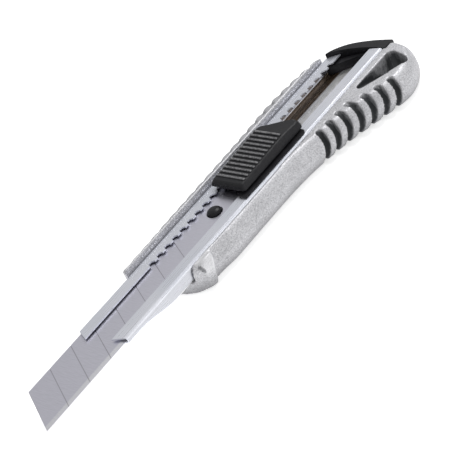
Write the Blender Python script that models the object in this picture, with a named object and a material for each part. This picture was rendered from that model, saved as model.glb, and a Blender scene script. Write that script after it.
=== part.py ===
"""Utility knife with a snap-off blade: a die-cast zinc handle, a folded steel channel that guides
the blade, a sprung slider that locks in the channel's notches, and a pull-off end cap.

Lengths below are in millimetres. The design frame has X = 0 at the channel's nose with the blade
leaving towards +X, Y = 0 on the channel's middle with the cutting edge towards +Y, and Z = 0 on
the blade's upper face. The assembly is moved at the end, so that the origin is at the bottom
centre of the whole knife's box.
"""

import math

import bmesh
import bpy
from mathutils import Matrix, Vector

MM = 0.001
FIT = 0.3  # clearance between two pieces that meet

# Blade
BLADE_WIDTH = 18.0
BLADE_LENGTH = 104.5
BLADE_THICKNESS = 0.5
BLADE_OUT = 35.0  # how far the blade stands out of the channel as modelled
SNAP_PITCH = 10.0
SNAP_ANGLE = math.radians(60)
SNAP_GROOVE_WIDTH = 0.3
SNAP_GROOVE_DEPTH = 0.12
BEVEL_WIDTH = 1.6
EDGE_LAND = 0.06
HOLE_FROM_END = 10.8
PIN_RADIUS = 2.5

# Channel, folded from one steel strip
SHEET = 0.5
SLOT_WIDTH = 9.6
CHANNEL_DEPTH = 5.2
CHANNEL_BEND = 1.2
CHANNEL_SIDE_PLAY = 0.25
NOSE_LENGTH = 26.0
NOSE_FLAT = 8.0
NOSE_LEFT = 1.5  # how far each lip reaches past X = 0 at its inner edge
NOSE_RIGHT = -0.6
LIP_CHAMFER = 2.3
TOOTH_PITCH = 4.0
TOOTH_COUNT = 26
TOOTH_RADIUS = 1.25
TOOTH_START = 32.3

# Handle casting
OUTLINE_HALF = 10.05  # half-width of the trough that the outlines in plan are drawn for
BODY_DEPTH = 9.0  # underside below the blade's face
BODY_TOP = 0.9
TAIL_TIP = (-149.5, 12.0)
CREST_STEPS = 8
WALL_TOP = 2.85
WALL_FOOT = 2.4  # where the lobes start above the underside
WALL_FALL_START = 131.0
WALL_FALL = 0.31
SCALLOP_PITCH = 4.944
SCALLOP_COUNT = 20
SCALLOP_START = 31.6
SCALLOP_DEPTH = 1.15
GROOVE_COUNT = 7
GROOVES_BESIDE_HOLE = 3  # the last grooves stop short of the lanyard hole
GROOVE_PITCH = 4.8
GROOVE_START = 99.0
GROOVE_WIDTH = 2.3
GROOVE_DEPTH = 2.4
GROOVE_LEAN = 0.33
RAMP_START = 122.0
RAMP_SLOPE = 0.33

# Rivets that hold the channel in the casting
RIVET_PLACES = (40.0, 134.0)
RIVET_SIDE = 3.2  # how far the rivets are from the channel's middle, on the belly side
RIVET_RADIUS = 1.6
RIVET_HEAD = 2.9
RIVET_HEAD_THICKNESS = 0.2
RIVET_SINK = 0.9  # depth of the countersink below the channel's floor
RIVET_RECESS = 0.4  # how far the rivet's lower end is above the casting's underside

# End cap
CAP_ARC_X = -108.2
CAP_ARC_Y = 14.1
CAP_ARC_RADIUS = 36.0
CAP_SIDE = 10.3
CAP_TOP = 2.7
SEAT_DEPTH = 0.4  # how far the cap's seat is cut below the trough's floor
TONGUE_FRONT = 130.8
TONGUE_REAR = 140.6

# Slider
CARRIER_FRONT = 53.0
CARRIER_REAR = 86.5
CARRIER_NOSE = 4.0  # length of the slope under its front end
NECK_FRONT = 78.0
CARRIER_RIVET_X = 82.5
CARRIER_RIVET_RADIUS = 1.2
BUTTON_RIVET_RADIUS = 1.0
RIVET_STEPS = 14
BLIND_DEPTH = 1.5  # depth of the rivet's hole in the button
LEAF_FRONT = 70.2
LEAF_REAR = 87.0
LEAF_FORK = 77.4
LEAF_THICKNESS = 0.35
BASE_FRONT = 65.6
BASE_REAR = 99.4
BASE_SIDE = 8.7
FLANGE_THICKNESS = 0.35
PRESS_TRAVEL = 0.5
PAWL_TOOTH = 10  # counted from the front
BUTTON_FRONT = 67.2
BUTTON_WIDTH = 13.6
BUTTON_BASE_WIDTH = 14.6
BUTTON_TOP = 4.55
RIDGE_COUNT = 12
RIDGE_PITCH = 1.91
RIDGE_HEIGHT = 0.5
RIDGE_START = 70.4
RIDGE_TAPER = 0.7
RIDGE_END = 0.35  # chamfer at each end of a ridge
BUTTON_RISE = 0.8  # how much higher the last ridge stands than the first
SLANT_LEFT = 94.6
SLANT_RIGHT = 102.4
BUTTON_SLICES = (-RIDGE_START, -80.0, -90.0, -91.4, -92.8)  # where its top face bends

# Ends of cutters that run past a piece or the whole knife
PAST = 1.0
FAR_BEHIND = -175.0
FAR_AHEAD = 45.0

# Places that follow from the sizes above
BLADE_HALF = BLADE_WIDTH / 2
BLADE_UNDER = -BLADE_THICKNESS
PIN_X = BLADE_OUT - BLADE_LENGTH + HOLE_FROM_END
HOLE_RADIUS = PIN_RADIUS + FIT
CHANNEL_INNER = BLADE_HALF + CHANNEL_SIDE_PLAY
CHANNEL_HALF = CHANNEL_INNER + SHEET
CARRIER_TOP = BLADE_UNDER - FIT
LEAF_UNDER = CARRIER_TOP + PRESS_TRAVEL + FIT
LEAF_TOP = LEAF_UNDER + LEAF_THICKNESS
LIP_UNDER = LEAF_TOP + FIT / 2
LIP_HEIGHT = LIP_UNDER + SHEET  # lip's upper face above the blade
FLOOR_UNDER = LIP_HEIGHT - CHANNEL_DEPTH
FLOOR_TOP = FLOOR_UNDER + SHEET
SLOT_HALF = SLOT_WIDTH / 2
TROUGH_HALF = CHANNEL_HALF + FIT
TROUGH_FLOOR = FLOOR_UNDER - FIT
WIDENING = TROUGH_HALF / OUTLINE_HALF
CARRIER_UNDER = FLOOR_TOP + FIT
FLANGE_UNDER = LIP_HEIGHT + FIT
FLANGE_TOP = FLANGE_UNDER + FLANGE_THICKNESS
BUTTON_UNDER = FLANGE_TOP + PRESS_TRAVEL + FIT / 2
PAWL_X = -(TOOTH_START + PAWL_TOOTH * TOOTH_PITCH)


def clear_scene():
    for item in list(bpy.data.objects):
        bpy.data.objects.remove(item, do_unlink=True)


def material(name, colour, metallic, roughness):
    finish = bpy.data.materials.new(name)
    finish.use_nodes = True
    shader = finish.node_tree.nodes["Principled BSDF"]
    shader.inputs["Base Color"].default_value = (*colour, 1.0)
    shader.inputs["Metallic"].default_value = metallic
    shader.inputs["Roughness"].default_value = roughness
    return finish


def mesh_object(name, mesh_data, finish=None):
    """Links the finished bmesh to the scene as an object, in metres."""
    bmesh.ops.recalc_face_normals(mesh_data, faces=mesh_data.faces)
    mesh = bpy.data.meshes.new(name)
    mesh_data.to_mesh(mesh)
    mesh_data.free()
    mesh.transform(Matrix.Scale(MM, 4))
    item = bpy.data.objects.new(name, mesh)
    bpy.context.scene.collection.objects.link(item)
    if finish:
        mesh.materials.append(finish)
        mesh.shade_smooth()
        mesh.set_sharp_from_angle(angle=math.radians(30))
    return item


def tool(item):
    """Marks an object as a cutter or an addition that only shapes another piece."""
    item.hide_render = True
    item.display_type = "WIRE"
    return item


def shape_with(target, other, operation="DIFFERENCE"):
    modifier = target.modifiers.new(other.name, "BOOLEAN")
    modifier.operation = operation
    modifier.object = tool(other)


def add_rings(mesh_data, rings):
    """Joins closed rings of the same number of points, fills both ends and returns the last face."""
    loops = [[mesh_data.verts.new(point) for point in ring] for ring in rings]
    count = len(loops[0])
    for near, far in zip(loops, loops[1:]):
        for i in range(count):
            j = (i + 1) % count
            mesh_data.faces.new((near[i], near[j], far[j], far[i]))
    mesh_data.faces.new(loops[0])
    return mesh_data.faces.new(loops[-1])


def solid(name, ring_sets, finish=None, bent_top=False):
    """One object from one or more separate stacks of rings; a bent top is split into triangles."""
    mesh_data = bmesh.new()
    for rings in ring_sets:
        top = add_rings(mesh_data, rings)
        if bent_top:
            bmesh.ops.triangulate(mesh_data, faces=[top])
    return mesh_object(name, mesh_data, finish)


def at_height(outline, z):
    return [(x, y, z) for x, y in outline]


def at_length(section, x):
    return [(x, y, z) for y, z in section]


def prism(outline, low, high):
    return [at_height(outline, low), at_height(outline, high)]


def block(x_range, y_range, z_range):
    (x0, x1), (y0, y1) = x_range, y_range
    return prism([(x0, y0), (x1, y0), (x1, y1), (x0, y1)], *z_range)


def arc(centre, radius, start, end, steps):
    """Points on an arc, with its angles in degrees."""
    points = []
    for i in range(steps + 1):
        angle = math.radians(start + (end - start) * i / steps)
        points.append((centre[0] + radius * math.cos(angle), centre[1] + radius * math.sin(angle)))
    return points


def circle(centre, radius, steps):
    return arc(centre, radius, 0, 360, steps)[:-1]


def rounded(corners, steps=4):
    """A closed outline from (x, y, radius) corners, each rounded by an arc of its radius."""
    outline = []
    for i, (x, y, radius) in enumerate(corners):
        here = Vector((x, y))
        before = (Vector(corners[i - 1][:2]) - here).normalized()
        after = (Vector(corners[(i + 1) % len(corners)][:2]) - here).normalized()
        if radius == 0:
            outline.append((x, y))
            continue
        half = before.angle(after) / 2
        middle = here + (before + after).normalized() * (radius / math.sin(half))
        first = here + before * (radius / math.tan(half)) - middle
        sweep = first.angle_signed(here + after * (radius / math.tan(half)) - middle)
        for k in range(steps + 1):
            turned = Matrix.Rotation(-sweep * k / steps, 2) @ first
            outline.append(tuple(middle + turned))
    return outline


def smooth_curve(points, steps):
    """Points along a Catmull-Rom curve through the given points, ends included."""
    padded = [points[0], *points, points[-1]]
    curve = []
    for a, b, c, d in zip(padded, padded[1:], padded[2:], padded[3:]):
        for k in range(steps):
            t = k / steps
            curve.append(tuple(
                0.5 * (2 * b[n] + (c[n] - a[n]) * t + (2 * a[n] - 5 * b[n] + 4 * c[n] - d[n]) * t ** 2
                       + (3 * b[n] - a[n] - 3 * c[n] + d[n]) * t ** 3)
                for n in range(2)))
    curve.append(tuple(points[-1]))
    return curve


def inset(outline, distance, share=lambda x, normal: 1.0):
    """The closed outline moved inwards; the outline runs with its inside on the left.

    share gives the part of the distance that a point moves, from its X and its outward normal.
    """
    moved = []
    for i, point in enumerate(outline):
        before = (Vector(point) - Vector(outline[i - 1])).normalized()
        after = (Vector(outline[(i + 1) % len(outline)]) - Vector(point)).normalized()
        tangent = (before + after).normalized()
        spread = max(0.5, tangent.dot(after))
        step = distance * share(point[0], Vector((tangent.y, -tangent.x))) / spread
        moved.append((point[0] - tangent.y * step, point[1] + tangent.x * step))
    return moved


def widened(corners):
    """Points in plan, made wider across the handle in step with the channel."""
    return [(x, y * WIDENING, *rest) for x, y, *rest in corners]


# ---------------------------------------------------------------- blade

def snap_off_blade(steel):
    slant = BLADE_WIDTH / math.tan(SNAP_ANGLE)
    back = BLADE_OUT - BLADE_LENGTH
    inner = BLADE_HALF - BEVEL_WIDTH
    bevel_slant = slant * BEVEL_WIDTH / BLADE_WIDTH

    def level(z, edge_at):
        edge = edge_at * EDGE_LAND / 2 + BLADE_UNDER / 2
        return [(BLADE_OUT - slant, -BLADE_HALF, z), (back, -BLADE_HALF, z), (back, inner, z),
                (back, BLADE_HALF, edge), (BLADE_OUT, BLADE_HALF, edge),
                (BLADE_OUT - bevel_slant, inner, z)]

    mesh_data = bmesh.new()
    lower = [mesh_data.verts.new(p) for p in level(BLADE_UNDER, -1)]
    upper = [mesh_data.verts.new(p) for p in level(0.0, 1)]
    for ring in (lower, upper):
        mesh_data.faces.new((ring[0], ring[1], ring[2], ring[5]))
        mesh_data.faces.new((ring[2], ring[3], ring[4], ring[5]))
    for i in range(6):
        j = (i + 1) % 6
        mesh_data.faces.new((lower[i], lower[j], upper[j], upper[i]))
    blade = mesh_object("snap_off_blade", mesh_data, steel)

    hole = prism(circle((PIN_X, 0), HOLE_RADIUS, 24), BLADE_UNDER - PAST, PAST)
    shape_with(blade, solid("blade_hole_cutter", [hole]))
    lines = []
    half = SNAP_GROOVE_WIDTH / 2
    reach = slant * (BLADE_WIDTH + 2) / BLADE_WIDTH
    for k in range(1, int((BLADE_LENGTH - 2 * SNAP_PITCH) / SNAP_PITCH)):
        x = BLADE_OUT - k * SNAP_PITCH + (reach - slant) / 2
        lines.append(prism([(x - half, BLADE_HALF + 1), (x - reach - half, -BLADE_HALF - 1),
                            (x - reach + half, -BLADE_HALF - 1), (x + half, BLADE_HALF + 1)],
                           -SNAP_GROOVE_DEPTH, 1))
    shape_with(blade, solid("snap_line_cutter", lines))
    return blade


# ---------------------------------------------------------------- channel

def channel_section(under):
    """The folded strip across its length, open between the lips, with its floor's underside at under."""
    outer, inner = CHANNEL_HALF, CHANNEL_INNER
    bend = min(CHANNEL_BEND, (LIP_HEIGHT - under) * 0.45)
    bend_in = bend - SHEET
    side = (arc((-outer + bend, LIP_HEIGHT - bend), bend, 90, 180, 4)
            + arc((-outer + bend, under + bend), bend, 180, 270, 4))
    other = [(-y, z) for y, z in reversed(side)]
    inside = (arc((-inner + bend_in, LIP_UNDER - bend_in), bend_in, 90, 180, 4)
              + arc((-inner + bend_in, under + SHEET + bend_in), bend_in, 180, 270, 4))
    other_inside = [(-y, z) for y, z in reversed(inside)]
    return ([(-SLOT_HALF, LIP_HEIGHT)] + side + other + [(SLOT_HALF, LIP_HEIGHT), (SLOT_HALF, LIP_UNDER)]
            + list(reversed(other_inside)) + list(reversed(inside)) + [(-SLOT_HALF, LIP_UNDER)])


def cap_face(radius, high=CAP_SIDE, low=-CHANNEL_HALF - 8.0, steps=10):
    """The arc in plan where the channel stops and the end cap begins, between two Y values."""
    first, last = (math.degrees(math.asin((CAP_ARC_Y - y) / radius)) for y in (high, low))
    return arc((CAP_ARC_X, CAP_ARC_Y), radius, 180 + first, 180 + last, steps)


def blade_channel(steel):
    nose_under = CARRIER_TOP - FIT / 6 - SHEET
    ramp = [(-NOSE_LEFT - 1, nose_under), (NOSE_FLAT, nose_under)]
    for k in range(1, 6):
        t = k / 5
        blend = t * t * (3 - 2 * t)
        x = NOSE_FLAT + (NOSE_LENGTH - NOSE_FLAT) * t
        ramp.append((x, nose_under + (FLOOR_UNDER - nose_under) * blend))
    ramp.append((-CAP_ARC_X + CAP_ARC_RADIUS + 1, FLOOR_UNDER))
    rings = [at_length(channel_section(under), -x) for x, under in ramp]
    channel = solid("blade_channel", [rings], steel)

    face = cap_face(CAP_ARC_RADIUS - FIT, high=CAP_ARC_Y)
    rear = face + [(FAR_BEHIND, face[-1][1]), (FAR_BEHIND, face[0][1])]
    shape_with(channel, solid("channel_rear_cutter", [prism(rear, FLOOR_UNDER - PAST, LIP_HEIGHT + PAST)]))

    front = [(NOSE_LEFT - LIP_CHAMFER, -CHANNEL_HALF), (NOSE_LEFT, -SLOT_HALF),
             (NOSE_RIGHT, SLOT_HALF), (NOSE_RIGHT - LIP_CHAMFER, CHANNEL_HALF)]
    front = [(front[0][0] - 0.5, -CHANNEL_HALF - 1)] + front + [(front[3][0] - 0.5, CHANNEL_HALF + 1)]
    front += [(NOSE_LEFT + 2, CHANNEL_HALF + 1), (NOSE_LEFT + 2, -CHANNEL_HALF - 1)]
    shape_with(channel, solid("channel_front_cutter", [prism(front, nose_under - PAST, LIP_HEIGHT + PAST)]))

    notches = []
    for k in range(TOOTH_COUNT):
        centre = (-TOOTH_START - k * TOOTH_PITCH, -SLOT_HALF)
        notches.append(prism(circle(centre, TOOTH_RADIUS, 14), LIP_UNDER - 0.4, LIP_HEIGHT + 0.4))
    shape_with(channel, solid("lock_notch_cutter", notches))
    shape_with(channel, rivet_tool("channel_rivet_hole_cutter"))
    return channel


# ---------------------------------------------------------------- rivets that hold the channel

def rivet_profile(grow):
    return [(RIVET_HEAD + grow, FLOOR_TOP + grow),
            (RIVET_HEAD + grow, FLOOR_TOP - RIVET_HEAD_THICKNESS - grow),
            (RIVET_RADIUS + grow, FLOOR_UNDER - RIVET_SINK - grow),
            (RIVET_RADIUS + grow, -BODY_DEPTH + RIVET_RECESS - grow)]


def turned(centre, profile, steps):
    """Rings round a vertical axis; the profile is (radius, z)."""
    return [at_height(circle(centre, radius, steps), z) for radius, z in profile]


def rivet_tool(name):
    sets = []
    for place in RIVET_PLACES:
        profile = rivet_profile(FIT)
        profile[-1] = (profile[-1][0], -BODY_DEPTH - PAST)
        sets.append(turned((-place, RIVET_SIDE), profile, 16))
    return solid(name, sets)


def channel_rivet(name, place, steel):
    return solid(name, [turned((-place, RIVET_SIDE), rivet_profile(0.0), 16)], steel)


# ---------------------------------------------------------------- handle casting

def spine_line(steps=4):
    """The handle's outer edge on the spine side, from the front to the tail's tip."""
    points = [(-30.0, -10.9), (-45.0, -11.2), (-70.0, -11.6), (-97.0, -12.5), (-113.0, -12.3),
              (-124.0, -11.0), (-131.5, -9.9), (-137.5, -8.3), (-142.9, -3.6), (-146.9, 3.9), TAIL_TIP]
    return smooth_curve(widened(points), steps)


def belly_line(steps=4):
    """The handle's outer edge on the cutting side, from the tail's tip to the nose."""
    points = [TAIL_TIP, (-147.4, 18.3), (-142.0, 23.8), (-134.6, 26.6), (-127.5, 25.8),
              (-117.0, 21.9), (-107.0, 18.4), (-97.0, 15.9), (-87.0, 14.4), (-75.0, 13.9),
              (-55.0, 13.9), (-43.0, 13.8), (-37.4, 13.0), (-33.2, 10.4), (-30.8, 5.5),
              (-29.2, -1.0), (-28.2, -7.6)]
    return smooth_curve(widened(points), steps)


def body_outline():
    """The casting seen from above; it runs with its inside on the left."""
    return list(reversed(spine_line()[:-1] + belly_line()))


BODY_EDGE = ((-BODY_DEPTH, 1.9), (-BODY_DEPTH + 0.2, 1.6), (-BODY_DEPTH + 1.0, 0.95),
             (-BODY_DEPTH + 2.2, 0.35), (-BODY_DEPTH + 3.8, 0.0), (BODY_TOP - 4.5, 0.1),
             (BODY_TOP - 3.0, 0.6), (BODY_TOP - 1.8, 1.4), (BODY_TOP - 0.8, 2.4),
             (BODY_TOP - 0.2, 3.3), (BODY_TOP, 4.0))


def edge_share(x, normal):
    """The casting's edges are rounded fully on the belly, less at the tail, and a little elsewhere."""
    nose = min(1.0, max(0.5, 0.5 + (-36.0 - x) / 20.0))
    return max(0.3, normal.y * nose, -0.62 * normal.x)


def crest_line():
    """The outer line of the spine wall's lobes, from the front to the wall's end."""
    points = [(-25.2, -11.3), (-36.5, -11.45), (-51.4, -12.0), (-70.5, -12.4), (-90.0, -13.0),
              (-104.0, -13.7), (-112.0, -13.6), (-120.5, -12.8), (-126.5, -11.8), (-131.5, -10.95),
              (-138.5, -10.4)]
    return smooth_curve(widened(points), CREST_STEPS)


def scalloped_spine():
    """The spine wall's outline: round lobes with a narrow valley between them."""
    crest = crest_line()
    samples = 6
    first = SCALLOP_START - SCALLOP_PITCH / 2
    total = SCALLOP_COUNT * samples
    outer = [crest[0]]
    for i in range(total + 1):
        along = i / total
        x = -(first + SCALLOP_COUNT * SCALLOP_PITCH * along)
        off_crest = abs((i / samples) % 1.0 - 0.5) * 2
        depth = SCALLOP_DEPTH * (0.25 + 0.75 * along) * off_crest ** 2.2
        outer.append((x, curve_y(crest, x) + depth))
    outer += [point for point in crest if point[0] < outer[-1][0] - 1.0]
    return outer + [(crest[-1][0], -TROUGH_HALF + 1), (crest[0][0], -TROUGH_HALF + 1)]


def spine_wall():
    """The scalloped wall beside the channel."""
    outline = list(reversed(scalloped_spine()))
    rings = [at_height(outline, -BODY_DEPTH + WALL_FOOT), at_height(outline, WALL_TOP - 0.6),
             at_height(inset(outline, 0.35), WALL_TOP)]
    return solid("spine_wall", [rings])


def wall_end_cutter():
    """Cuts the wall's upper face to a slope that falls towards the tail."""
    start, end = -WALL_FALL_START + 1, -WALL_FALL_START - 10
    slope = [(start, WALL_TOP + WALL_FALL), (end, WALL_TOP + WALL_FALL * (end + WALL_FALL_START)),
             (end, WALL_TOP + 1), (start, WALL_TOP + 1)]
    return solid("wall_end_cutter", [[[(x, y, z) for x, z in slope] for y in (-20, -TROUGH_HALF + 2)]])


def curve_y(line, x):
    """The Y of a line that runs towards -X, at the given X."""
    for (x0, y0), (x1, y1) in zip(line, line[1:]):
        if x1 <= x <= x0:
            return y0 + (y1 - y0) * (x0 - x) / (x0 - x1)
    return line[-1][1]


def handle_body(zinc):
    outline = body_outline()
    rings = [at_height(inset(outline, distance, edge_share), z) for z, distance in BODY_EDGE]
    body = solid("handle_body", [rings], zinc)
    shape_with(body, spine_wall(), "UNION")
    shape_with(body, wall_end_cutter())
    trough = block((FAR_BEHIND, FAR_AHEAD), (-TROUGH_HALF, TROUGH_HALF), (TROUGH_FLOOR, WALL_TOP + 3))
    shape_with(body, solid("trough_cutter", [trough]))
    shape_with(body, rivet_tool("body_rivet_hole_cutter"))
    shape_with(body, finger_grooves())
    shape_with(body, lanyard_cutter())
    shape_with(body, cap_seat())
    return body


def finger_grooves():
    """Seven round-bottomed cuts that wrap the swelling belly from beside the channel to the underside."""
    belly = list(reversed(belly_line()))
    sets = []
    for k in range(GROOVE_COUNT):
        x = -(GROOVE_START + k * GROOVE_PITCH)
        side = curve_y(belly, x)
        top_end = TROUGH_HALF + 1.9
        if k >= GROOVE_COUNT - GROOVES_BESIDE_HOLE:
            top_end = (16.4 + 2.4 * (k - GROOVE_COUNT + GROOVES_BESIDE_HOLE)) * WIDENING
        rings = []
        for step, depth in ((-0.5, 0.55), (-0.28, 1.0), (0.28, 1.0), (0.5, 0.55)):
            d = GROOVE_DEPTH * depth
            inner = [(top_end + 1.2 - 0.5 * d, 1.6), (side - 1.6 - d, -1.0), (side - 0.2 - d, -4.0),
                     (side - 0.5 - d, -6.6), (side - 3.2 - d, -BODY_DEPTH - 0.6)]
            far = [(side + 4, -BODY_DEPTH - 0.6), (side + 4, 1.6)]
            ring = [(x + step * GROOVE_WIDTH - GROOVE_LEAN * (z + 3), y, z) for y, z in inner + far]
            rings.append(ring)
        sets.append(rings)
    return solid("finger_groove_cutter", sets)


def lanyard_cutter():
    """A through hole for a cord near the tail, and the ramp that leads into it from the front."""
    hole = rounded(widened([(-143.9, 12.6, 2.2), (-140.4, 23.4, 2.4), (-131.2, 18.9, 0.4),
                            (-137.0, 12.6, 0.4)]))
    ramp_outline = rounded(widened([(-118.6, 12.4, 1.3), (-138.6, 12.6, 0.3), (-132.4, 19.8, 0.3)]))
    through = prism(hole, -BODY_DEPTH - PAST, BODY_TOP + PAST)
    floor = [(x, y, min(0.0, x + RAMP_START) * RAMP_SLOPE) for x, y in ramp_outline]
    ramp = [floor, at_height(ramp_outline, BODY_TOP + PAST)]
    item = solid("lanyard_cutter", [through])
    shape_with(item, solid("lanyard_ramp", [ramp]), "UNION")
    return item


def cap_seat():
    """The step at the tail that the end cap sits in."""
    face = cap_face(CAP_ARC_RADIUS - FIT, high=CAP_SIDE + FIT)
    outline = face + [(FAR_BEHIND, face[-1][1]), (FAR_BEHIND, face[0][1])]
    return solid("cap_seat_cutter", [prism(outline, TROUGH_FLOOR - SEAT_DEPTH, WALL_TOP + 3)])


# ---------------------------------------------------------------- end cap

def cap_rim(outline, below):
    """The cap's upper edge, which falls from the spine wall's side to the casting's belly."""
    fall = (CAP_TOP - BODY_TOP) / (CAP_SIDE + 8.3)
    return [(x, y, CAP_TOP - below - fall * (y + 8.3)) for x, y in outline]


def end_cap(plastic):
    outline = body_outline()
    lowest = TROUGH_FLOOR - SEAT_DEPTH + FIT
    rings = [at_height(outline, lowest), cap_rim(outline, 0.45), cap_rim(inset(outline, 0.35), 0.0)]
    cap = solid("end_cap", [rings], plastic)
    face = cap_face(CAP_ARC_RADIUS, high=CAP_SIDE + 1)
    keep_out = face + [(FAR_AHEAD, face[-1][1]), (FAR_AHEAD, face[0][1])]
    high = CAP_TOP + PAST
    shape_with(cap, solid("cap_front_cutter", [prism(keep_out, lowest - PAST, high)]))
    side = block((FAR_BEHIND, FAR_AHEAD), (CAP_SIDE, 40), (lowest - PAST, high))
    shape_with(cap, solid("cap_side_cutter", [side]))
    half = CHANNEL_INNER - 1.2
    root = CAP_ARC_X - CAP_ARC_RADIUS
    tongue = rounded([(root + 8, -half, 0), (root - 1, half, 0), (root + 1.7, half, 0.3),
                      (-TONGUE_REAR, 2.0, 1.5), (-TONGUE_FRONT, -half, 1.0)])
    rings = prism(tongue, CARRIER_UNDER, LIP_UNDER - FIT - 0.5)
    shape_with(cap, solid("cap_tongue", [rings]), "UNION")
    return cap


# ---------------------------------------------------------------- slider

def drilled(x, radius, low, high):
    """A cutter for a rivet's hole on the channel's middle line, with clearance round the rivet."""
    return prism(circle((x, 0), radius + FIT, RIVET_STEPS), low, high)


def blade_carrier(plastic):
    half = CHANNEL_INNER - FIT - 0.4

    def outline(front):
        return rounded([(-front, half, 2.0), (-CARRIER_REAR, half, 1.0), (-CARRIER_REAR, -half, 1.0),
                        (-front, -half, 2.0)])

    rings = [at_height(outline(CARRIER_FRONT + CARRIER_NOSE), CARRIER_UNDER),
             at_height(outline(CARRIER_FRONT), CARRIER_TOP - 0.5),
             at_height(outline(CARRIER_FRONT), CARRIER_TOP)]
    carrier = solid("blade_carrier", [rings], plastic)
    head = [(PIN_RADIUS, CARRIER_TOP - 0.5), (PIN_RADIUS, 0.35), (PIN_RADIUS * 0.93, 0.75),
            (PIN_RADIUS * 0.75, 1.1), (PIN_RADIUS * 0.45, 1.35), (PIN_RADIUS * 0.12, 1.42)]
    shape_with(carrier, solid("carrier_pin", [turned((PIN_X, 0), head, 20)]), "UNION")
    hole = drilled(-CARRIER_RIVET_X, CARRIER_RIVET_RADIUS, CARRIER_UNDER - PAST, CARRIER_TOP + PAST)
    shape_with(carrier, solid("carrier_rivet_hole_cutter", [hole]))
    return carrier


def slider_base(plastic):
    """Neck between the lips and a thin flange that slides on top of them."""
    neck_half = SLOT_HALF - FIT - 0.2
    left = -BUTTON_WIDTH / 2 + 0.6
    flange = rounded([(-BASE_FRONT, BASE_SIDE, 0.5), (-BASE_REAR, BASE_SIDE, 1.4), (-BASE_REAR, 2.0, 0.5),
                      (-SLANT_LEFT + 1.0, left, 0.5), (-BASE_FRONT - 3.0, left, 0.5),
                      (-BASE_FRONT - 2.6, 4.0, 0.3), (-BASE_FRONT, 5.4, 0.3)])
    base = solid("slider_base", [prism(flange, FLANGE_UNDER, FLANGE_TOP)], plastic)
    neck = rounded([(-NECK_FRONT, neck_half, 0.6), (-CARRIER_REAR, neck_half, 0.6),
                    (-CARRIER_REAR, -neck_half, 0.6), (-NECK_FRONT, -neck_half, 0.6)])
    shape_with(base, solid("base_neck", [prism(neck, CARRIER_TOP + FIT, FLANGE_UNDER + 0.1)]), "UNION")
    holes = [drilled(PAWL_X, BUTTON_RIVET_RADIUS, FLANGE_UNDER - PAST, FLANGE_TOP + PAST),
             drilled(-CARRIER_RIVET_X, CARRIER_RIVET_RADIUS, CARRIER_TOP - PAST, FLANGE_TOP + PAST)]
    shape_with(base, solid("base_hole_cutter", holes))
    return base


def carrier_rivet(steel):
    shaft = [(CARRIER_RIVET_RADIUS, CARRIER_UNDER + 0.05), (CARRIER_RIVET_RADIUS, FLANGE_TOP - 0.05)]
    return solid("carrier_rivet", [turned((-CARRIER_RIVET_X, 0), shaft, RIVET_STEPS)], steel)


def lock_spring(steel):
    """A forked leaf under the lips; its pawl stands up into a notch of the spine-side lip."""
    half = CHANNEL_INNER - FIT - 1.2
    arm = SLOT_HALF - 0.1
    fork = [(-LEAF_FRONT, half), (-LEAF_FRONT, -half), (-LEAF_REAR, -half), (-LEAF_REAR, -arm),
            (-LEAF_FORK, -arm), (-LEAF_FORK, arm), (-LEAF_REAR, arm), (-LEAF_REAR, half)]
    leaf = solid("lock_spring", [prism(fork, LEAF_UNDER, LEAF_TOP)], steel)
    reach = TOOTH_RADIUS - FIT
    nose = arc((PAWL_X, -SLOT_HALF + 0.25), reach * 0.9, 180, 360, 8)
    pawl = prism(nose, LEAF_TOP - 0.1, LIP_UNDER + PRESS_TRAVEL - 0.15)
    shape_with(leaf, solid("pawl", [pawl]), "UNION")
    hole = drilled(PAWL_X, BUTTON_RIVET_RADIUS, LEAF_UNDER - PAST, LEAF_TOP + PAST)
    shape_with(leaf, solid("leaf_hole_cutter", [hole]))
    return leaf


def button_rivet(steel):
    profile = [(BUTTON_RIVET_RADIUS, LEAF_UNDER), (BUTTON_RIVET_RADIUS, BUTTON_UNDER + BLIND_DEPTH - FIT)]
    return solid("button_rivet", [turned((PAWL_X, 0), profile, RIVET_STEPS)], steel)


def button_outline(width, grow):
    half = width / 2
    return rounded([(-BUTTON_FRONT + grow, half, 1.0), (-SLANT_RIGHT - grow * 0.5, half, 2.2),
                    (-SLANT_LEFT - grow * 0.5, -half, 1.6), (-BUTTON_FRONT + grow, -half, 1.0)])


def button_height(x):
    """Height of the button's plain top face, which rises under the ridges and falls off behind them."""
    last = RIDGE_START + (RIDGE_COUNT - 1) * RIDGE_PITCH
    if -x <= last:
        return BUTTON_TOP + BUTTON_RISE * max(0.0, -x - RIDGE_START) / (last - RIDGE_START)
    return BUTTON_TOP + BUTTON_RISE * (1 - 1.1 * (-x - last) / (SLANT_RIGHT - last))


def grip_ridge(k):
    """One ridge across the button; its end on the right stops a little earlier towards the rear."""
    x = -(RIDGE_START + k * RIDGE_PITCH)
    left = -BUTTON_WIDTH / 2 + 0.7
    right = BUTTON_WIDTH / 2 - 0.6 - RIDGE_TAPER * k / (RIDGE_COUNT - 1)
    low, high = button_height(x) - 0.4, button_height(x) + RIDGE_HEIGHT
    foot, shoulder, crown = RIDGE_PITCH * 0.36, RIDGE_PITCH * 0.2, RIDGE_PITCH * 0.1
    ring = [(x - foot, low), (x + foot, low), (x + shoulder, high - 0.12), (x + crown, high),
            (x - crown, high), (x - shoulder, high - 0.12)]
    rings = []
    end = RIDGE_END
    for y, drop in ((left, end), (left + end, 0.0), (right - end, 0.0), (right, end)):
        rings.append([(px, y, max(low, pz - drop)) for px, pz in ring])
    return rings


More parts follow.
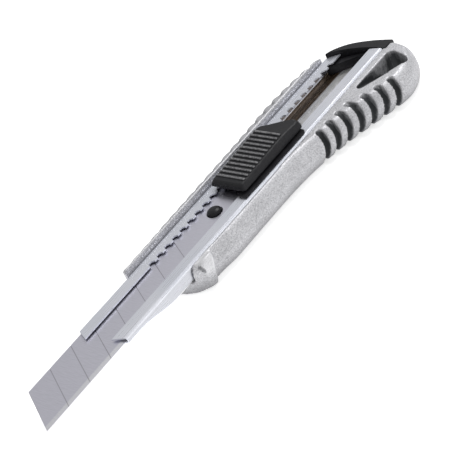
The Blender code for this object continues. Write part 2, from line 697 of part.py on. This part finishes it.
def slider_button(plastic):
    rings = []
    for below, width, grow in ((2.0, BUTTON_BASE_WIDTH, 0.0), (0.8, BUTTON_WIDTH, -0.2),
                               (0.22, BUTTON_WIDTH - 0.9, -0.6), (0.0, BUTTON_WIDTH - 1.7, -1.1)):
        outline = sliced(button_outline(width, grow), BUTTON_SLICES)
        rings.append([(x, y, button_height(x) - below) for x, y in outline])
    foot = sliced(button_outline(BUTTON_BASE_WIDTH, -0.1), BUTTON_SLICES)
    rings.insert(0, at_height(foot, BUTTON_UNDER))
    button = solid("slider_button", [rings], plastic, bent_top=True)
    shape_with(button, solid("grip_ridges", [grip_ridge(k) for k in range(RIDGE_COUNT)]), "UNION")
    hole = drilled(PAWL_X, BUTTON_RIVET_RADIUS, BUTTON_UNDER - PAST, BUTTON_UNDER + BLIND_DEPTH)
    shape_with(button, solid("button_hole_cutter", [hole]))
    return button


def sliced(outline, places):
    """The outline with a point added wherever a long side crosses one of the given X values."""
    points = []
    for i, (x0, y0) in enumerate(outline):
        x1, y1 = outline[(i + 1) % len(outline)]
        points.append((x0, y0))
        if abs(x1 - x0) < 6.0:
            continue
        for place in sorted(places, reverse=x1 < x0):
            if min(x0, x1) < place < max(x0, x1):
                points.append((place, y0 + (y1 - y0) * (place - x0) / (x1 - x0)))
    return points


# ---------------------------------------------------------------- assembly

def seat_on_origin(parent):
    """Moves the assembly so that the origin is at the bottom centre of its box."""
    view = bpy.context.evaluated_depsgraph_get()
    low = Vector((math.inf,) * 3)
    high = -low
    for item in parent.children:
        if item.hide_render:
            continue
        shown = item.evaluated_get(view)
        for vertex in shown.data.vertices:
            for axis in range(3):
                low[axis] = min(low[axis], vertex.co[axis])
                high[axis] = max(high[axis], vertex.co[axis])
    parent.location = (-(low.x + high.x) / 2, -(low.y + high.y) / 2, -low.z)


def build():
    clear_scene()
    zinc = material("cast_zinc", (0.56, 0.56, 0.58), 0.85, 0.48)
    channel_steel = material("channel_steel", (0.68, 0.70, 0.75), 1.0, 0.25)
    blade_steel = material("blade_steel", (0.55, 0.55, 0.58), 1.0, 0.33)
    spring_steel = material("spring_steel", (0.5, 0.5, 0.5), 1.0, 0.35)
    rivet_steel = material("rivet_steel", (0.6, 0.6, 0.6), 1.0, 0.3)
    black_plastic = material("black_plastic", (0.03, 0.03, 0.032), 0.0, 0.42)

    snap_off_blade(blade_steel)
    blade_channel(channel_steel)
    handle_body(zinc)
    channel_rivet("channel_rivet_front", RIVET_PLACES[0], rivet_steel)
    channel_rivet("channel_rivet_rear", RIVET_PLACES[1], rivet_steel)
    end_cap(black_plastic)
    blade_carrier(black_plastic)
    carrier_rivet(rivet_steel)
    slider_base(black_plastic)
    lock_spring(spring_steel)
    button_rivet(rivet_steel)
    slider_button(black_plastic)

    knife = bpy.data.objects.new("knife", None)
    bpy.context.scene.collection.objects.link(knife)
    for item in list(bpy.data.objects):
        if item is not knife:
            item.parent = knife
    bpy.context.view_layer.update()
    seat_on_origin(knife)
    bpy.context.view_layer.update()


build()
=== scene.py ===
"""Looks of the snap-off utility knife: finer casting, materials, studio light and camera.

The design frame used below has X = 0 at the channel's nose, Y = 0 on the channel's middle and
Z = 0 on the blade's upper face, in millimetres. place() turns such a point into the scene's metres.
"""

import math

import bmesh
import bpy
import numpy as np
from mathutils import Euler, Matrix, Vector, noise
from mathutils.bvhtree import BVHTree


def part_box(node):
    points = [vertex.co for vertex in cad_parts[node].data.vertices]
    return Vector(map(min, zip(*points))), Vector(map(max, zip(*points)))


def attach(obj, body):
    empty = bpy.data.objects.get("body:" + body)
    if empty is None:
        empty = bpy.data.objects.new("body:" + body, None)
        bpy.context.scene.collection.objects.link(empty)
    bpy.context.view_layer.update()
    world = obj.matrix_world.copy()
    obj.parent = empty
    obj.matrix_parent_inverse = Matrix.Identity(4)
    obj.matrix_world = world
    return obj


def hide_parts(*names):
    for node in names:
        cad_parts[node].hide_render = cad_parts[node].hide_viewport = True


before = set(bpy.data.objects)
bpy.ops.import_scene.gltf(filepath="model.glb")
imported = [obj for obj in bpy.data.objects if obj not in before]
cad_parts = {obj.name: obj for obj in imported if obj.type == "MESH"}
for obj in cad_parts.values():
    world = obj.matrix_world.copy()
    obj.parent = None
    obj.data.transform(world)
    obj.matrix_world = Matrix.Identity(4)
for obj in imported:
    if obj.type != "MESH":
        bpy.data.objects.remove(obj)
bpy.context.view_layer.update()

MM = 0.001
BLADE_OUT = 35.0  # how far the blade stands out of the channel in the CAD model
SNAP_PITCH = 10.0
SNAP_ANGLE = math.radians(60)
SCORE_START = 29.8  # X at which a score line crosses the blade's middle
LINE_REACH = 0.4  # the distance from a score line that score_line() measures as 1
LINES_END = (-47.0, -45.0)  # X range over which the score lines stop towards the tail
BEVEL_START = (7.3, 7.5)  # Y range over which the blade's face turns into its bevel
FACE_SLOPE = 0.8 / 21.0  # rise of the button's face towards the tail
FACE_HEIGHT = 1.87  # height of that slope at X = 0
RIDGE_HEIGHT = 0.5
PAINTED_SHADOW_EDGE = (-2.8, -5.2)  # Y range over which the channel's floor turns from painted light to a painted brown shadow
FLOOR_PAINTED_LIGHT = (-5.0, -3.0)  # Y range over which painted light lifts the rest of the floor to white
FLOOR_LEVEL = (-3.3, -3.6)  # Z range over which the channel's walls turn into its floor
SIDE_EDGE = (9.3, 9.7)  # Y range over which the channel's lip turns into its darker side
BELLY_SHADE = (-9.0, 0.0)  # Z range over which painted shade darkens the casting towards its underside
TROUGH_SIDE = 10.05  # Y of the casting's wall beside the channel
CHANNEL_EDGE = 10.3  # Y just outside the channel's side
GROOVES_START = -93.0  # X behind which the casting has its grooves and lanyard hole
SCALLOP_PITCH = 4.944
SCALLOP_VALLEY = 29.128  # distance of the first valley behind X = 0
WALL_INSIDE = 10.4  # how far from Y = 0 the shade on the spine wall's lobes begins
PRESSED_IN = 0.2  # how far the casting's top edge is pressed towards the channel
NOSE_TOP = 2.8  # no sculpted point of the casting is higher
BLADE_LOW, BLADE_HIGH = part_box("snap_off_blade")
ORIGIN = Vector((BLADE_HIGH.x - BLADE_OUT * MM, (BLADE_LOW.y + BLADE_HIGH.y) / 2, BLADE_HIGH.z))


def place(x, y, z):
    """A point of the design frame, in millimetres, as a place in the scene."""
    return ORIGIN + Vector((x, y, z)) * MM


# ---------------------------------------------------------------- shader helpers

class Shader:
    """A Principled material with short calls for the nodes that the materials here use."""

    def __init__(self, name, metallic=0.0, roughness=0.5):
        self.material = bpy.data.materials.new(name)
        self.material.use_nodes = True
        tree = self.material.node_tree
        self.nodes, self.links = tree.nodes, tree.links
        self.main = self.nodes["Principled BSDF"]
        self.set("Metallic", metallic)
        self.set("Roughness", roughness)
        self.where = self.nodes.new("ShaderNodeTexCoord").outputs["Object"]

    def set(self, socket, value):
        self.main.inputs[socket].default_value = value

    def feed(self, socket, output):
        self.links.new(output, self.main.inputs[socket])

    def stretched(self, stretch):
        node = self.nodes.new("ShaderNodeVectorMath")
        node.operation = "MULTIPLY"
        self.links.new(self.where, node.inputs[0])
        node.inputs[1].default_value = stretch
        return node.outputs[0]

    def noise(self, size_mm, detail=2.0, stretch=None, rough=0.5):
        node = self.nodes.new("ShaderNodeTexNoise")
        node.inputs["Scale"].default_value = 1.0 / (size_mm * MM)
        node.inputs["Detail"].default_value = detail
        node.inputs["Roughness"].default_value = rough
        self.links.new(self.stretched(stretch) if stretch else self.where, node.inputs["Vector"])
        return node.outputs["Fac"]

    def ramp(self, value, stops):
        """A colour ramp; stops are (position, grey or colour)."""
        node = self.nodes.new("ShaderNodeValToRGB")
        band = node.color_ramp
        while len(band.elements) < len(stops):
            band.elements.new(0.5)
        for element, (position, colour) in zip(band.elements, stops):
            element.position = position
            element.color = (*((colour,) * 3 if isinstance(colour, float) else colour), 1.0)
        self.links.new(value, node.inputs["Fac"])
        return node.outputs["Color"]

    def axis(self, index, low_mm, high_mm):
        """0 to 1 as the design X, Y or Z goes from low to high."""
        split = self.nodes.new("ShaderNodeSeparateXYZ")
        self.links.new(self.where, split.inputs[0])
        node = self.nodes.new("ShaderNodeMapRange")
        node.inputs["From Min"].default_value = ORIGIN[index] + low_mm * MM
        node.inputs["From Max"].default_value = ORIGIN[index] + high_mm * MM
        self.links.new(split.outputs[index], node.inputs["Value"])
        return node.outputs["Result"]

    def attribute(self, name):
        node = self.nodes.new("ShaderNodeAttribute")
        node.attribute_name = name
        return node.outputs["Fac"]

    def above_face(self):
        """0 on the button's sloping face to 1 on the tops of its ridges."""
        split = self.nodes.new("ShaderNodeSeparateXYZ")
        self.links.new(self.where, split.inputs[0])
        height = self.maths("ADD", split.outputs[2], self.times(split.outputs[0], FACE_SLOPE))
        start = place(0, 0, FACE_HEIGHT)
        above = self.maths("SUBTRACT", height, start.z + start.x * FACE_SLOPE)
        return self.times(above, 1 / (RIDGE_HEIGHT * MM))

    def score_line(self):
        """0 on the blade's score lines, which lean with the snap angle, to 1 at LINE_REACH from them."""
        split = self.nodes.new("ShaderNodeSeparateXYZ")
        self.links.new(self.where, split.inputs[0])
        lean = self.times(split.outputs[1], -1 / math.tan(SNAP_ANGLE))
        along = self.maths("ADD", split.outputs[0], lean)
        first = place(SCORE_START, 0, 0)
        offset = first.x - first.y / math.tan(SNAP_ANGLE)
        apart = self.maths("PINGPONG", self.maths("SUBTRACT", along, offset), SNAP_PITCH * MM / 2)
        return self.times(apart, 1 / (LINE_REACH * MM))

    def mix(self, factor, first, second, blend="MIX"):
        """Mixes two colours; each may be a colour or an output."""
        node = self.nodes.new("ShaderNodeMix")
        node.data_type = "RGBA"
        node.blend_type = blend
        for socket, value in ((node.inputs[0], factor), (node.inputs[6], first), (node.inputs[7], second)):
            if isinstance(value, bpy.types.NodeSocket):
                self.links.new(value, socket)
            elif isinstance(value, tuple):
                socket.default_value = (*value, 1.0)
            else:
                socket.default_value = value
        return node.outputs[2]

    def times(self, first, second):
        return self.maths("MULTIPLY", first, second)

    def maths(self, operation, first, second):
        node = self.nodes.new("ShaderNodeMath")
        node.operation = operation
        for socket, value in zip(node.inputs, (first, second)):
            if isinstance(value, bpy.types.NodeSocket):
                self.links.new(value, socket)
            else:
                socket.default_value = value
        return node.outputs[0]

    def bump(self, height, depth_mm, strength=1.0):
        node = self.nodes.new("ShaderNodeBump")
        node.inputs["Strength"].default_value = strength
        node.inputs["Distance"].default_value = depth_mm * MM
        self.links.new(height, node.inputs["Height"])
        self.feed("Normal", node.outputs["Normal"])


def zinc():
    """Die-cast zinc: light satin grey with a fine speckle and larger stains, painted shade in its hollows
    and towards its underside, a dark mark on the nose, and a painted highlight on the nose's block.
    """
    s = Shader("cast_zinc_look", metallic=0.55)
    grain = s.noise(0.42, detail=3.0, rough=0.7)
    stain = s.noise(9.0, detail=3.0)
    speckle = s.ramp(grain, [(0.30, (0.36, 0.36, 0.38)), (0.45, (0.60, 0.60, 0.625)),
                             (0.60, (0.74, 0.74, 0.765)), (0.74, (0.92, 0.92, 0.95))])
    # random stains, times painted shade that darkens the casting towards its underside
    shade = s.times(s.ramp(stain, [(0.35, 0.90), (0.65, 1.0)]),
                    s.ramp(s.axis(2, *BELLY_SHADE), [(0.05, 0.50), (0.55, 0.86), (1.0, 1.0)]))
    skin = s.mix(1.0, speckle, shade, "MULTIPLY")
    # painted highlight: the nose's block made lighter where it faces the lamps
    skin = s.mix(s.times(s.attribute(PAINTED_HIGHLIGHT), 0.45), skin, (0.98, 0.98, 1.0))
    # painted shade: near black in the tail's grooves and pocket and between the spine wall's lobes, and on
    # the nose's dark mark
    s.feed("Base Color", s.mix(s.attribute(PAINTED_SHADE_AND_MARK), skin, (0.080, 0.084, 0.090)))
    s.feed("Roughness", s.ramp(grain, [(0.3, 0.62), (0.7, 0.42)]))
    s.bump(grain, 0.05, 0.55)
    return s.material


def plated_steel():
    """The folded channel: smooth and bluish, with a painted brown shadow along one side of its floor and
    painted light on the rest of the floor.
    """
    s = Shader("channel_steel_look", metallic=0.7)
    scratch = s.noise(0.35, detail=3.0, stretch=(0.04, 1.0, 1.0))
    cloud = s.noise(14.0, detail=2.0, stretch=(0.6, 1.0, 1.0))
    sheet = s.mix(s.ramp(cloud, [(0.35, 0.0), (0.65, 1.0)]), (0.76, 0.785, 0.86), (0.85, 0.865, 0.93))
    streak = s.noise(0.8, detail=2.0, stretch=(0.02, 1.0, 1.0))
    # painted shadow: the brown, streaked shade that the toothed lip casts on the floor
    painted_shadow = s.ramp(streak, [(0.35, (0.10, 0.07, 0.045)), (0.65, (0.30, 0.22, 0.15))])
    # painted light: the floor where the key lamp reaches it
    painted_light = s.mix(s.axis(1, *FLOOR_PAINTED_LIGHT), sheet, (1.0, 1.0, 1.0))
    in_painted_shadow = s.ramp(s.axis(1, *PAINTED_SHADOW_EDGE), [(0.4, 0.0), (0.6, 1.0)])
    floor = s.mix(in_painted_shadow, painted_light, painted_shadow)
    sheet = s.mix(s.axis(1, *SIDE_EDGE), sheet, (0.58, 0.59, 0.63))
    s.feed("Base Color", s.mix(s.axis(2, *FLOOR_LEVEL), sheet, floor))
    s.feed("Roughness", s.ramp(scratch, [(0.3, 0.32), (0.7, 0.26)]))
    return s.material


def ground_steel():
    """The blade: ground across its length, with a brighter bevel and dark score lines."""
    s = Shader("blade_steel_look", metallic=1.0)
    grind = s.noise(0.16, detail=2.0, stretch=(1.0, 0.05, 1.0))
    face = s.ramp(grind, [(0.3, (0.66, 0.655, 0.73)), (0.7, (0.75, 0.745, 0.83))])
    bevel = s.ramp(grind, [(0.3, (0.70, 0.70, 0.74)), (0.7, (0.82, 0.82, 0.86))])
    on_bevel = s.axis(1, *BEVEL_START)
    line = s.times(s.ramp(s.score_line(), [(0.0, 0.5), (0.25, 0.4), (0.4, 0.0)]),
                   s.axis(0, *LINES_END))
    s.feed("Base Color", s.mix(line, s.mix(on_bevel, face, bevel), (0.10, 0.085, 0.09)))
    s.feed("Roughness", s.ramp(grind, [(0.3, 0.42), (0.7, 0.30)]))
    s.bump(grind, 0.01, 0.2)
    return s.material


def moulded_black(name, ridge_highlight=0.0, rough=0.0):
    """Black moulded plastic, dusty; ridge_highlight is how strongly a painted highlight greys the tops of
    the button's ridges.
    """
    s = Shader(name, roughness=0.42)
    fine = s.noise(0.5, detail=4.0, rough=0.65)
    wide = s.noise(4.0, detail=2.0)
    base = s.ramp(fine, [(0.3, (0.008, 0.008, 0.010)), (0.7, (0.018, 0.018, 0.021))])
    if ridge_highlight:
        # painted highlight: the ridge tops greyed as if lit from above, mottled by the fine noise
        lit_crests = s.times(s.ramp(s.above_face(), [(0.3, 0.0), (0.8, 1.0)]),
                         s.ramp(fine, [(0.38, 0.25), (0.6, 1.0)]))
        base = s.mix(s.times(lit_crests, ridge_highlight), base, (0.34, 0.34, 0.35))
    s.feed("Base Color", base)
    s.feed("Roughness", s.ramp(wide, [(0.35, 0.38 + rough), (0.65, 0.22 + rough)]))
    s.bump(fine, 0.02, 0.3)
    s.set("Specular IOR Level", 0.28)
    return s.material


def plain_steel():
    """Rivets and spring strip."""
    s = Shader("spring_steel_look", metallic=1.0)
    turned = s.noise(0.3, detail=2.0)
    s.feed("Base Color", s.ramp(turned, [(0.3, (0.36, 0.36, 0.37)), (0.7, (0.52, 0.52, 0.53))]))
    s.feed("Roughness", s.ramp(turned, [(0.3, 0.42), (0.7, 0.28)]))
    return s.material


def give(node, material):
    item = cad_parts[node]
    item.data.materials.clear()
    item.data.materials.append(material)


# ---------------------------------------------------------------- finer casting

VOXEL = 0.34 * MM
GRAIN_DEPTH = 0.02 * MM
PAINTED_SHADE_AND_MARK = "painted_shade_and_mark"  # painted shade, 0 to 1: how shut in a point of the tail's grooves and pocket is, the shade between the spine wall's lobes, and the nose's dark mark
PAINTED_HIGHLIGHT = "painted_highlight"  # painted highlight on the nose's block, 0 to 1
RECESS_RAYS = 20
RECESS_REACH = 7.0 * MM
RAY_GAP = 0.05 * MM  # rays start this far off the surface
LEAST_HITS = 0.10  # share of rays that hit the casting where the painted shade begins
FULL_HITS = 0.40  # share where the painted shade is full
SMOOTH_ROUNDS = 3
WIDE_WAVE = 2.6 * MM
FINE_WAVE = 0.9 * MM
FLAT_BASE = 0.2 * MM  # points lower than this stay flat
MARK_SIDES = (11.4, 13.6)  # Y range of the dark mark on the nose's block
MARK_BOTTOM = -2.5  # Z at which the mark ends
MARK_HALF = 0.3  # half the mark's width
MARK_TONE = 0.7
PAINTED_HIGHLIGHT_END = -35.5  # X at which the nose's painted highlight ends, at Y = 11
BLOCK_OUT = 0.7  # how far the nose's block stands out sideways
BLOCK_UP = 0.9  # and upwards
SCOOP_IN = 0.6  # depth of the scooped belly at its top, and twice that lower down
SCOOP_DOWN = 0.25
WALL_FALL = 0.2  # how much lower the spine wall's top is at its lobes


def copy_of(node, name):
    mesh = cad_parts[node].data.copy()
    item = bpy.data.objects.new(name, mesh)
    bpy.context.scene.collection.objects.link(item)
    return item


def applied(item):
    """Bakes an object's modifiers into its mesh."""
    view = bpy.context.evaluated_depsgraph_get()
    mesh = bpy.data.meshes.new_from_object(item.evaluated_get(view))
    item.modifiers.clear()
    item.data = mesh
    return item


def smoothed(item, voxel, rounds):
    remesh = item.modifiers.new("fine", "REMESH")
    remesh.mode = "VOXEL"
    remesh.voxel_size = voxel
    soften = item.modifiers.new("soft", "SMOOTH")
    soften.factor = 0.5
    soften.iterations = rounds
    return applied(item)


def dome(count):
    """Even directions over the upper half of a sphere."""
    golden = math.pi * (3 - math.sqrt(5))
    directions = []
    for i in range(count):
        z = (i + 0.5) / count
        flat = math.sqrt(1 - z * z)
        directions.append(Vector((flat * math.cos(golden * i), flat * math.sin(golden * i), z)))
    return directions


def shut_in(mesh):
    """How shut in each point of the grooved tail is, 0 to 1; the rest of the casting has 0."""
    tree = BVHTree.FromPolygons([v.co for v in mesh.vertices], [p.vertices for p in mesh.polygons])
    directions = dome(RECESS_RAYS)
    values = np.zeros(len(mesh.vertices), np.float32)
    tail = place(GROOVES_START, 0, 0).x
    belly = place(0, CHANNEL_EDGE, 0).y
    for vertex in mesh.vertices:
        point = vertex.co
        if point.x > tail or point.y < belly:
            continue
        turn = vertex.normal.to_track_quat("Z", "Y")
        start = point + vertex.normal * RAY_GAP
        hits = sum(tree.ray_cast(start, turn @ way, RECESS_REACH)[0] is not None for way in directions)
        values[vertex.index] = hits / RECESS_RAYS
    return np.clip((values - LEAST_HITS) / (FULL_HITS - LEAST_HITS), 0.0, 1.0)


def mark_tones(mesh):
    """Stores painted shade in the tail's grooves and pocket and between lobes, the dark mark, and a
    painted highlight on the nose's block.
    """
    values = shut_in(mesh)
    painted_highlight = np.zeros(len(mesh.vertices), np.float32)
    for vertex in mesh.vertices:
        x, y, z = (vertex.co - ORIGIN) / MM
        if y < -WALL_INSIDE:
            # painted shade on the spine wall, darkest in the valleys between its lobes
            apart = abs((-x - SCALLOP_VALLEY) / SCALLOP_PITCH % 1.0 - 0.5) * 2
            values[vertex.index] = 0.12 + 0.55 * ease(apart, 0.35, 1.0) * ease(-y, 10.5, 11.5)
        elif z > MARK_BOTTOM and MARK_SIDES[0] < y < MARK_SIDES[1] and abs(x - mark_middle(y)) < MARK_HALF:
            values[vertex.index] = MARK_TONE
        # painted highlight on the top of the nose's block
        if y > TROUGH_SIDE - 0.2:
            edge = nose_edge(z)
            end = PAINTED_HIGHLIGHT_END - (y - 11.0) * 0.3
            painted_highlight[vertex.index] = (ease(x, edge - 0.2, edge + 0.4) * ease(z, -5.5, -2.0)
                                    * (1 - ease(x, end - 0.4, end + 0.4)))
    mesh.attributes.new(PAINTED_SHADE_AND_MARK, "FLOAT", "POINT").data.foreach_set("value", values)
    mesh.attributes.new(PAINTED_HIGHLIGHT, "FLOAT", "POINT").data.foreach_set("value", painted_highlight)


def ease(value, low, high):
    """0 below low, 1 above high and smooth between them."""
    t = min(1.0, max(0.0, (value - low) / (high - low)))
    return t * t * (3 - 2 * t)


def mark_middle(y):
    """X of the dark mark that slants across the nose's block."""
    return -35.9 - (y - 12.4) * 0.43


def nose_edge(z):
    """X of the edge where the nose's block ends and the scooped belly begins."""
    return -39.2 - 3.3 * min(1.0, max(0.0, (z + 5.0) / 5.9)) ** 1.3


def sculpt(mesh_data):
    """The block at the nose, the belly scooped in behind it, and the edge pressed to the channel."""
    for vertex in mesh_data.verts:
        x, y, z = (vertex.co - ORIGIN) / MM
        if y < -10.6 and z > 0:  # the spine wall's top falls a little towards its lobes
            vertex.co = place(x, y, z - WALL_FALL * ease(-y, 10.8, 13.2))
        if y < TROUGH_SIDE - 0.3:
            continue
        if y < TROUGH_SIDE + 0.25 and z > -4.0:
            y -= PRESSED_IN * ease(z, -1.5, 0.0)
        outer = ease(y, 10.6, 12.2)
        edge = nose_edge(z)
        block = ease(x, edge - 0.4, edge + 0.8) * (1 - ease(x, -36.4 + ease(z, -6, -8) * 2, -33.6))
        y += BLOCK_OUT * block * outer
        z += BLOCK_UP * block * ease(y, 10.9, 12.6) * ease(z, -4.5, -0.3)
        behind = edge - x
        scoop = ease(behind, -0.2, 1.2) * (1 - ease(behind, 1.5, 12.0))
        y -= SCOOP_IN * (1 + ease(-z, 4.0, 7.0)) * scoop * outer
        z -= SCOOP_DOWN * scoop * outer * ease(z, -5.0, -1.0)
        z = min(z, NOSE_TOP)
        vertex.co = place(x, y, z)


def casting():
    """The handle with the soft edges and the faintly uneven skin of a casting."""
    item = smoothed(copy_of("handle_body", "zinc_casting"), VOXEL, SMOOTH_ROUNDS)
    mesh_data = bmesh.new()
    mesh_data.from_mesh(item.data)
    sculpt(mesh_data)
    mesh_data.normal_update()
    for vertex in mesh_data.verts:
        wave = noise.noise(vertex.co * (1 / WIDE_WAVE)) + 0.6 * noise.noise(vertex.co * (1 / FINE_WAVE))
        if vertex.co.z > FLAT_BASE:
            vertex.co += vertex.normal * wave * GRAIN_DEPTH
        vertex.co.z = max(vertex.co.z, 0.0)
    mesh_data.to_mesh(item.data)
    mesh_data.free()
    mark_tones(item.data)
    item.data.shade_smooth()
    item.data.materials.clear()
    item.data.materials.append(zinc())
    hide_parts("handle_body")
    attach(item, "handle")
    return item


# ---------------------------------------------------------------- light, floor and camera

FLOOR_DROP = 0.0002  # keeps the floor clear of the casting's flat underside
FLOOR_HALF = 3.0


def area_light(name, at, towards, size, power):
    data = bpy.data.lights.new(name, "AREA")
    data.shape = "DISK"
    data.size = size
    data.energy = power
    lamp = bpy.data.objects.new(name, data)
    bpy.context.scene.collection.objects.link(lamp)
    lamp.location = at
    lamp.rotation_euler = (towards - at).to_track_quat("-Z", "Y").to_euler()
    return lamp


def studio():
    middle = place(-55, 0, 0)
    area_light("key", middle + Vector((-0.75, -0.10, 1.0)), middle, 0.4, 5.2)
    area_light("fill", middle + Vector((-0.45, 0.90, 0.55)), middle, 0.6, 1.1)
    world = bpy.data.worlds.new("studio")
    bpy.context.scene.world = world
    world.use_nodes = True
    sky = world.node_tree.nodes["Background"]
    sky.inputs["Color"].default_value = (1.0, 1.0, 1.0, 1.0)
    sky.inputs["Strength"].default_value = 0.52

    mesh_data = bmesh.new()
    bmesh.ops.create_grid(mesh_data, x_segments=1, y_segments=1, size=FLOOR_HALF)
    mesh = bpy.data.meshes.new("floor")
    mesh_data.to_mesh(mesh)
    mesh_data.free()
    floor = bpy.data.objects.new("floor", mesh)
    floor.location.z = -FLOOR_DROP
    bpy.context.scene.collection.objects.link(floor)
    paper = Shader("paper", roughness=0.9)
    paper.set("Base Color", (0.96, 0.96, 0.96, 1.0))
    paper.set("Emission Color", (1.0, 1.0, 1.0, 1.0))
    paper.set("Emission Strength", 0.52)
    mesh.materials.append(paper.material)


def camera():
    data = bpy.data.cameras.new("camera")
    data.lens = 142.617
    data.sensor_width = 36.0
    data.sensor_height = 36.0
    data.sensor_fit = "HORIZONTAL"
    data.clip_start = 0.01
    item = bpy.data.objects.new("camera", data)
    bpy.context.scene.collection.objects.link(item)
    item.location = place(215.7, 376.9, 308.8)
    item.rotation_euler = Euler((0.9250, 0.3764, 2.2397))
    bpy.context.scene.camera = item


def main():
    casting()
    give("blade_channel", plated_steel())
    give("snap_off_blade", ground_steel())
    black = moulded_black("black_plastic_look", rough=0.12)
    for node in ("end_cap", "slider_base"):
        give(node, black)
    give("blade_carrier", moulded_black("glossy_plastic_look"))
    give("slider_button", moulded_black("ridge_highlight_plastic_look", ridge_highlight=0.85, rough=0.14))
    steel = plain_steel()
    rivets = ("channel_rivet_front", "channel_rivet_rear", "carrier_rivet", "button_rivet")
    for node in (*rivets, "lock_spring"):
        give(node, steel)
    studio()
    camera()
    bpy.context.scene.view_settings.view_transform = "Standard"


main()
